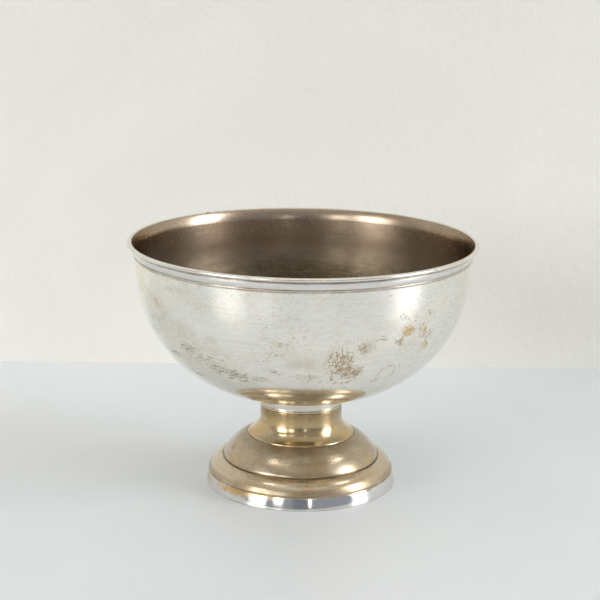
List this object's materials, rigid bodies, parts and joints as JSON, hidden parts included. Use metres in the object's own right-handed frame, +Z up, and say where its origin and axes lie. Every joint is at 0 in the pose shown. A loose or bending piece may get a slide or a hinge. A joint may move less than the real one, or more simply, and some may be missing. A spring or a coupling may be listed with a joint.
{
  "type": "footed champagne bucket",
  "caption": "Wide silver-plated champagne bucket: a deep round bowl with an applied rim on a waisted, stepped round foot.",
  "frame": {"origin": "centre of the base's underside, on the surface the bucket stands on", "axes": "+Z up along the bucket's axis of revolution; +X and +Y are level and interchangeable, with -Y taken as the front"},
  "size_m": [0.3, 0.3, 0.2151],
  "materials": {
    "bowl_silver": "worn silver plate, softly polished, with fine spin lines, hairline scratches and brown tarnish spots; darker warm grey inside",
    "rim_silver": "bright worn silver plate with brown tarnish in the grooves",
    "foot_silver": "silver plate under a golden tan tarnish, polished brighter on its high edges",
    "base_silver": "bright worn silver plate, golden tarnish along its top edge",
    "fixing_brass": "dull unplated brass",
    "fixing_steel": "plain zinc-plated steel"
  },
  "bodies": {
    "root": {"bowl": "bowl_silver", "rim_wire": "rim_silver", "rim_band": "rim_silver", "collar_ring": "foot_silver", "neck": "foot_silver", "foot_dome": "foot_silver", "foot_lower_tier": "foot_silver", "base_strap": "base_silver", "fixing_boss": "fixing_brass", "fixing_stud": "fixing_steel", "clamp_washer": "fixing_brass", "clamp_nut": "fixing_steel"}
  },
  "joints": []
}
